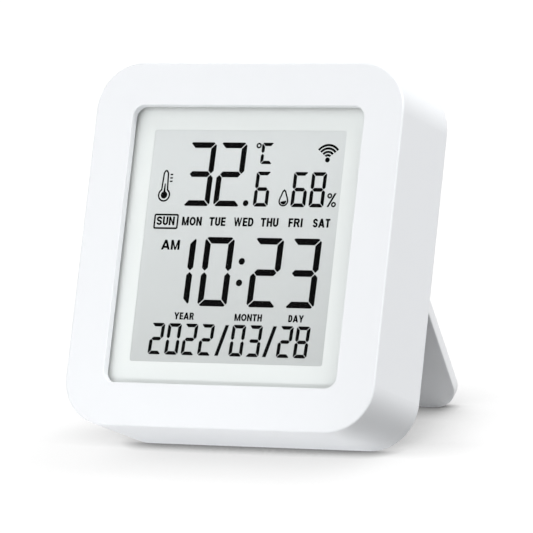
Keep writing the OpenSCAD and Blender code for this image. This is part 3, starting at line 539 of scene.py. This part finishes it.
def write_word(word, middle, low, width, height):
    """Writes a word in capitals that fills a box of that width and height."""
    space = 0.11
    natural = sum(letters[letter][0] for letter in word) + space * (len(word) - 1)
    scale = width / natural
    stem = 0.232 * height
    beam = 0.21 * height
    left = middle - width / 2
    for letter in word:
        wide = letters[letter][0] * scale
        pen = stem * (0.72 if letter in "MNW" else 1.05)
        for kind, *at in letters[letter][1]:
            if kind == "stem":
                x = left + at[0] * (wide - stem)
                draw_bar(x, low + at[1] * height, x + stem, low + at[2] * height)
            elif kind == "beam":
                z = low + at[0] * (height - beam)
                draw_bar(left + at[1] * wide, z, left + at[2] * wide, z + beam)
            elif kind == "slash":
                x_low, x_high = (left + stem / 2 + x * (wide - stem) for x in (at[0], at[2]))
                draw_slash(x_low, low + at[1] * height, x_high, low + at[3] * height, pen)
            else:
                x_left, x_right = (left + x * wide for x in (at[0], at[2]))
                line = (stem + beam) / 2
                draw_bowl(x_left, low + at[1] * height, x_right, low + at[3] * height, line, at[4])
        left += wide + space * scale


display_words = start_drawing("display_words")
days = (
    ("SUN", -17.35, 4.1), ("MON", -11.35, 4.5), ("TUE", -5.55, 3.7), ("WED", 0.38, 4.5),
    ("THU", 6.24, 4.0), ("FRI", 12.05, 3.1), ("SAT", 17.87, 3.8),
)
for day, middle, width in days:
    write_word(day, middle, 41.85, width, height=1.8)
write_word("AM", -15.6, 36.79, 4.2, height=2.05)
for name, middle, width in (("YEAR", -10.72, 4.5), ("MONTH", 3.8, 6.15), ("DAY", 14.5, 3.4)):
    write_word(name, middle, 22.5, width, height=1.45)
draw_bar(-20.05, 41.05, -14.45, 44.2)
bpy.ops.mesh.select_all(action="SELECT")
bpy.ops.mesh.bevel(offset=0.4, offset_type="OFFSET", affect="VERTICES", segments=5)
keep_outline(0.36)
lay_figures(display_words)


# The board: green glass-fibre laminate on the housing's bosses, held by four screws, with its chip,
# crystal can, capacitor, small parts and a radio module under a tinned shield.
def solder_mask(name, colour):
    """Lacquered circuit board, with paler tracks under the lacquer."""
    finish, wire = start_finish(name)
    tracks = noise(wire, 1.2, 0.0) > 0.58
    paler = tuple(min(1, c * 1.8 + 0.02) for c in colour)
    close_finish(wire, {
        "Base Color": blend(wire, tracks, colour, paler),
        "Roughness": 0.25 + 0.1 * noise(wire, 0.8),
    })
    return finish


tinned = bare_metal("tinned_sheet", (0.72, 0.72, 0.71), 0.35, stretch=(0.1, 1, 1))
zinc = bare_metal("zinc_plated_steel", (0.66, 0.67, 0.68), 0.35, stretch=(1, 1, 0.2))
aluminium = bare_metal("aluminium_can", (0.78, 0.78, 0.79), 0.3, stretch=(1, 1, 0.1))
ceramic = printed_film("fired_ceramic", (0.45, 0.33, 0.22), 0.5, speckle=0.3, speckle_size=0.5)
module_blue = solder_mask("blue_module_lacquer", (0.02, 0.06, 0.22))
package_black = moulded_plastic("black_package", (0.025, 0.025, 0.027), 0.6, grain=0.15, relief=0.2)
dress("main_board", solder_mask("green_board_lacquer", (0.012, 0.12, 0.035)))
dress("board_screws", zinc)
dress("controller_chip", package_black)
dress("clock_crystal", tinned)
dress("storage_capacitor", aluminium)
dress("board_passives", ceramic)
dress("wireless_board", module_blue)
dress("wireless_shield", tinned)

# The sensor: a small black chip with an open port on its own board, held up behind the vents by a row
# of header pins, so that it feels the room's air and not the case's.
dress("sensor_board", module_blue)
dress("sensor_chip", package_black)
dress("sensor_header", moulded_plastic("black_header", (0.03, 0.03, 0.03), 0.5))

# The rear cover: a white panel inside the case's rim, with the vents, the battery bay and the recess of
# the stand. It is moulded with a slightly coarser grain than the front.
cover_white = (0.83, 0.84, 0.855)
cover_plastic = moulded_plastic("matt_white_cover", cover_white, 0.5, grain=0.3, relief=0.2)
dress("rear_cover", cover_plastic)


# The cover screws: four zinc-plated pan heads with a cross recess, at the bottom of deep posts. One is
# turned from a disc, crowned, cut with two crossed slots, and then copied to the four corners.
def only(piece):
    """Selects one object alone and makes it the active one."""
    bpy.ops.object.select_all(action="DESELECT")
    piece.select_set(True)
    bpy.context.view_layer.objects.active = piece


def cut_away(piece, cutter):
    """Takes the cutter's shape out of the piece."""
    only(piece)
    cut = piece.modifiers.new("cut", "BOOLEAN")
    cut.object = cutter
    cut.solver = "EXACT"
    bpy.ops.object.modifier_apply(modifier=cut.name)
    bpy.data.objects.remove(cutter)


def copy_to(piece, place):
    """Copies a piece and puts the copy in its place."""
    only(piece)
    bpy.ops.object.duplicate()
    copy = bpy.context.object
    copy.data.transform(place)
    return copy


def join_pieces(pieces, name, smooth_below):
    """Joins pieces into one, smooth where its faces meet below that angle in degrees."""
    only(pieces[0])
    for piece in pieces:
        piece.select_set(True)
    bpy.ops.object.join()
    joined = bpy.context.object
    joined.name = name
    bpy.ops.object.shade_smooth_by_angle(angle=math.radians(smooth_below))
    return joined


screw_low, screw_high = case_box("cover_screws")
head_r = 2.0
head_h = 1.4
shank_r = 1.1
slot_w = 0.7
slot_l = 2.3
slot_depth = 0.9
crown = 0.55
shank_h = screw_high.y - screw_low.y - head_h
bpy.ops.object.select_all(action="DESELECT")
bpy.ops.mesh.primitive_cylinder_add(vertices=48, radius=head_r, depth=head_h, location=(0, 0, -head_h / 2))
screw = bpy.context.object
bpy.ops.object.transform_apply(location=True, rotation=False, scale=False)
bpy.ops.object.mode_set(mode="EDIT")
pick(lambda place: place.z > -head_h / 2)
bpy.ops.mesh.bevel(offset=crown, segments=5, affect="EDGES")
pick(lambda place: place.z < -head_h + figure_t)
bpy.ops.mesh.inset(thickness=head_r - shank_r)
bpy.ops.mesh.extrude_region_move(TRANSFORM_OT_translate={"value": (0, 0, -shank_h)})
bpy.ops.object.mode_set(mode="OBJECT")
for turn in (0, math.pi / 2):
    bpy.ops.object.select_all(action="DESELECT")
    bpy.ops.mesh.primitive_cube_add(size=1)
    slot = bpy.context.object
    slot_size = Matrix.Diagonal((slot_l, slot_w, 2 * slot_depth, 1))
    slot.data.transform(Matrix.Rotation(turn, 4, "Z") @ slot_size)
    cut_away(screw, slot)
face_out = Matrix.Rotation(-math.pi / 2, 4, "X")
copies = []
for x in (screw_low.x + head_r, screw_high.x - head_r):
    for z in (screw_low.z + head_r, screw_high.z - head_r):
        turned = Matrix.Rotation(0.4 * x + 0.7 * z, 4, "Z")
        place = case_axes @ Matrix.Translation((x, screw_high.y, z)) @ face_out @ turned
        copies.append(copy_to(screw, place))
bpy.data.objects.remove(screw)
screws = join_pieces(copies, "cover_screw_heads", smooth_below=35)
screws.data.materials.append(zinc)
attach(screws, "case")
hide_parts("cover_screws")


# The cells: two AAA cells with a printed sleeve rolled round a steel can, bare at both ends. The
# sleeve is left plain. Nickel-plated contact plates close the bay at both ends.
def sleeved_cell(name, sleeve, can):
    """Printed sleeve round the can, and bare plated steel on the faces at its ends."""
    finish, wire = start_finish(name)
    facing = wire.node("ShaderNodeTexCoord", out="Normal")
    along = wire.node("ShaderNodeSeparateXYZ", sockets={0: facing}, out="X")
    end = along * along > 0.6
    close_finish(wire, {
        "Base Color": blend(wire, end, sleeve, can),
        "Metallic": end,
        "Roughness": 0.25 + 0.12 * noise(wire, 2.5),
        "Specular IOR Level": 0.5,
    })
    return finish


sleeve_blue = (0.16, 0.26, 0.38)
can_grey = (0.7, 0.7, 0.7)
nickel = bare_metal("nickel_plate", (0.74, 0.72, 0.67), 0.3, stretch=(1, 0.1, 1))
dress("battery_cells", sleeved_cell("plain_cell_sleeve", sleeve_blue, can_grey))
for contact in ("positive_contact", "negative_contact", "bridge_contact"):
    dress(contact, nickel)

# The contact springs: nickel-plated wire wound into a cone, wide at its plate and narrow at its cell.
# Both ends run straight out for one wire diameter.
spring_low, spring_high = case_box("contact_springs")
wire_r = 0.25
base_r = 3.4
tip_r = 2.2
turns = 3
points_per_turn = 24
cell_heights = (spring_low.z + base_r + wire_r, spring_high.z - base_r - wire_r)
spring_length = 5.55
coils = []
for side, height in ((-1, cell_heights[1]), (1, cell_heights[0])):
    plate_x = spring_high.x if side > 0 else spring_low.x
    middle = Vector((plate_x, (spring_low.y + spring_high.y) / 2, height))
    path = [Vector((0, base_r, 0))]
    for i in range(turns * points_per_turn + 1):
        share = i / (turns * points_per_turn)
        radius = base_r + (tip_r - base_r) * share
        angle = 2 * math.pi * turns * share
        run = 2 * wire_r + (spring_length - 4 * wire_r) * share
        path.append(Vector((-side * run, radius * math.cos(angle), radius * math.sin(angle))))
    path.append(Vector((-side * spring_length, tip_r, 0)))
    bpy.ops.object.select_all(action="DESELECT")
    curve = bpy.data.curves.new("spring_path", "CURVE")
    curve.dimensions = "3D"
    curve.bevel_depth = wire_r
    curve.bevel_resolution = 3
    curve.use_fill_caps = True
    line = curve.splines.new("POLY")
    line.points.add(len(path) - 1)
    for point, place in zip(line.points, path):
        point.co = (*(middle + place), 1)
    coil = bpy.data.objects.new("contact_spring_wire", curve)
    bpy.context.scene.collection.objects.link(coil)
    only(coil)
    bpy.ops.object.convert(target="MESH")
    coils.append(bpy.context.object)
springs = join_pieces(coils, "contact_spring_wire", smooth_below=60)
springs.data.transform(case_axes)
springs.data.materials.clear()
springs.data.materials.append(nickel)
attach(springs, "case")
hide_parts("contact_springs")

# The battery door: a white flap on two pins along its lower edge, held shut by a tab on its free edge.
# Its finger scoop has three rounded ribs, moulded on.
dress("battery_door", cover_plastic)
door_high = case_box("battery_door")[1]
rib_l = 9.0
rib_r = 0.3
rib_pitch = 1.5
scoop_r = 7.0
scoop_depth = 0.7
scoop_drop = 4.0
rib_round = 0.21
bpy.ops.object.select_all(action="DESELECT")
bpy.ops.mesh.primitive_cylinder_add(vertices=24, radius=rib_r, depth=rib_l)
rib = bpy.context.object
bpy.ops.object.mode_set(mode="EDIT")
bpy.ops.mesh.select_all(action="SELECT")
bpy.ops.mesh.bevel(offset=rib_round, segments=4, affect="EDGES")
bpy.ops.object.mode_set(mode="OBJECT")
rib.data.transform(Matrix.Rotation(math.pi / 2, 4, "Y"))
ribs = []
for step in (-1, 0, 1):
    rise = step * rib_pitch
    scoop_y = door_high.y + scoop_r - scoop_depth - math.sqrt(scoop_r**2 - rise**2)
    place = case_axes @ Matrix.Translation((0, scoop_y, door_high.z - scoop_drop + rise))
    ribs.append(copy_to(rib, place))
bpy.data.objects.remove(rib)
grip = join_pieces(ribs, "door_grip_ribs", smooth_below=50)
grip.data.materials.append(cover_plastic)
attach(grip, "battery_door")

# The button: a white cap in a hole of the cover, over the plunger of a push switch. The switch is a
# tinned can with a black plunger, soldered on the board.
dress("set_button", moulded_plastic("satin_white_button", (0.8, 0.81, 0.825), 0.35))
dress("switch_plunger", moulded_plastic("black_plunger", (0.03, 0.03, 0.03), 0.5))
dress("switch_base", tinned)

# The stand: a white moulded leg on two pegs, swung out behind the case until its heel stops. Its foot
# has round corners and a notch for a finger.
# Its white is painted a little lighter than the case's white: painted light, for the light that its shaded
# face lacks.
dress("stand", moulded_plastic("satin_white_stand", (0.88, 0.89, 0.905)))

# The floor: a plain white table top, wide enough to fill the view. The camera sees it white outside the
# shadow. That shadow is mostly painted shadow, worked out from how open the floor is to the sky, faint in
# front of the case and deep behind it; a small share is real. To the object it is a matt surface that
# throws light back up: it is painted dark on the right, painted shade for the case's lower right corner,
# and glows under the overhang of the case, painted light for the underside.
table_size = 8
bright_bounce = (0.88, 0.88, 0.88)
painted_shade_bounce = (0.18, 0.18, 0.18)
table_white = (0.86, 0.86, 0.86, 1)
painted_glow_level = 0.33
faint = 0.11
deep = 1.2
contact_depth = 0.33
lit_share = 0.05


def looked_at(wire):
    """1 for what the camera sees, straight on, in a reflection or through a clear sheet; else 0."""
    kinds = ("Camera", "Glossy", "Transmission")
    camera_ray, glossy_ray, clear_ray = (
        wire.node("ShaderNodeLightPath", out=f"Is {kind} Ray") for kind in kinds
    )
    return camera_ray + glossy_ray + clear_ray


def ramp(wire, place, start, length):
    """Goes from 0 to 1 over a length, from a start on, both in millimetres."""
    return wire.node("ShaderNodeClamp", sockets={"Value": (place - start * MM) * (1 / (length * MM))})


def openness(wire, reach):
    """Share of the sky that is open over a point, for what stands within that many millimetres."""
    return wire.node("ShaderNodeAmbientOcclusion", {"samples": 16}, {"Distance": reach * MM}, out="AO")


bpy.ops.object.select_all(action="DESELECT")
bpy.ops.mesh.primitive_plane_add(size=table_size)
floor = bpy.context.object
floor.name = "table_top"
finish, wire = start_finish("white_table_top")
place = wire.node("ShaderNodeTexCoord", out="Object")
across = wire.node("ShaderNodeSeparateXYZ", sockets={0: place}, out="X")
back = wire.node("ShaderNodeSeparateXYZ", sockets={0: place}, out="Y")
at_right = ramp(wire, across, start=24, length=12)
behind = ramp(wire, back, start=-12.5, length=10)
overhung = ramp(wire, back, start=-32, length=22) * (1 - ramp(wire, back, start=-9, length=3))
# Painted shade: to the object the floor is dark grey on the right, which shades the case's lower right
# corner.
bounce = blend(wire, at_right, bright_bounce, painted_shade_bounce)
matt = wire.node("ShaderNodeBsdfDiffuse", sockets={"Color": bounce})
# Painted light: the floor shines softly under the overhang of the case, though no lamp is there, to light
# the underside.
painted_glow = wire.node("ShaderNodeEmission", sockets={"Color": painted_glow_level * (overhung * (1 - at_right))})
thrown = wire.node("ShaderNodeAddShader", sockets={0: matt, 1: painted_glow})
# Painted shadow: what the camera sees is mostly a shade worked out from how open the floor is, faint in
# front of the case, deep behind it and darkest where the case touches; a small share is the floor as it is
# really lit.
near = openness(wire, 20)
shades = {0: behind, 2: near ** faint, 3: near ** deep}
contact = openness(wire, 2.4) ** contact_depth
shadow = wire.node("ShaderNodeMix", {"data_type": "FLOAT"}, shades) * contact
painted_shadow_emission = wire.node("ShaderNodeEmission", sockets={"Color": shadow})
pale = wire.node("ShaderNodeBsdfDiffuse", sockets={"Color": table_white})
lit = wire.node("ShaderNodeAddShader", sockets={0: pale, 1: pale})
white = wire.node("ShaderNodeMixShader", sockets={0: lit_share, 1: painted_shadow_emission, 2: lit})
surface = wire.node("ShaderNodeMixShader", sockets={0: looked_at(wire), 1: thrown, 2: white})
wire.node("ShaderNodeOutputMaterial", sockets={"Surface": surface})
floor.data.materials.append(finish)


# The light: an even white room, a soft light high behind on the right, a weak one high in front, and a
# broad low panel far in front that fills the face and the underside. Places are in metres.
def soft_light(name, place, strength, spread):
    """Far light with a spread in degrees, shining from the direction of that place."""
    bpy.ops.object.select_all(action="DESELECT")
    bpy.ops.object.light_add(type="SUN")
    light = bpy.context.object
    light.name = name
    light.data.energy = strength
    light.data.angle = math.radians(spread)
    light.rotation_euler = Vector(place).to_track_quat("Z", "Y").to_euler()


soft_light("high_side_light", (0.6, 0.28, 0.75), strength=2.75, spread=55)
soft_light("high_front_light", (-0.1, -0.7, 0.71), strength=0.76, spread=50)
panel_place = (0, -1.6, 0.085)
bpy.ops.object.select_all(action="DESELECT")
bpy.ops.object.light_add(type="AREA")
panel = bpy.context.object
panel.name = "low_front_panel"
panel.data.shape = "RECTANGLE"
panel.data.size = 4.0
panel.data.size_y = 0.16
panel.data.energy = 12
panel.matrix_world = Matrix.Translation(panel_place) @ Matrix.Rotation(math.pi / 2, 4, "X")

wall_white = (0.98, 0.99, 1, 1)
wall_level = 0.34
room = bpy.data.worlds.new("white_room")
bpy.context.scene.world = room
room.use_nodes = True
room.node_tree.nodes.clear()
wire = Wire(room.node_tree)
walls = wire.node("ShaderNodeBackground", sockets={"Color": wall_white, "Strength": wall_level})
backdrop = wire.node("ShaderNodeBackground", sockets={"Color": (1, 1, 1, 1), "Strength": 1.0})
surface = wire.node("ShaderNodeMixShader", sockets={0: looked_at(wire), 1: walls, 2: backdrop})
wire.node("ShaderNodeOutputWorld", sockets={"Surface": surface})

bpy.context.scene.view_settings.view_transform = "Standard"
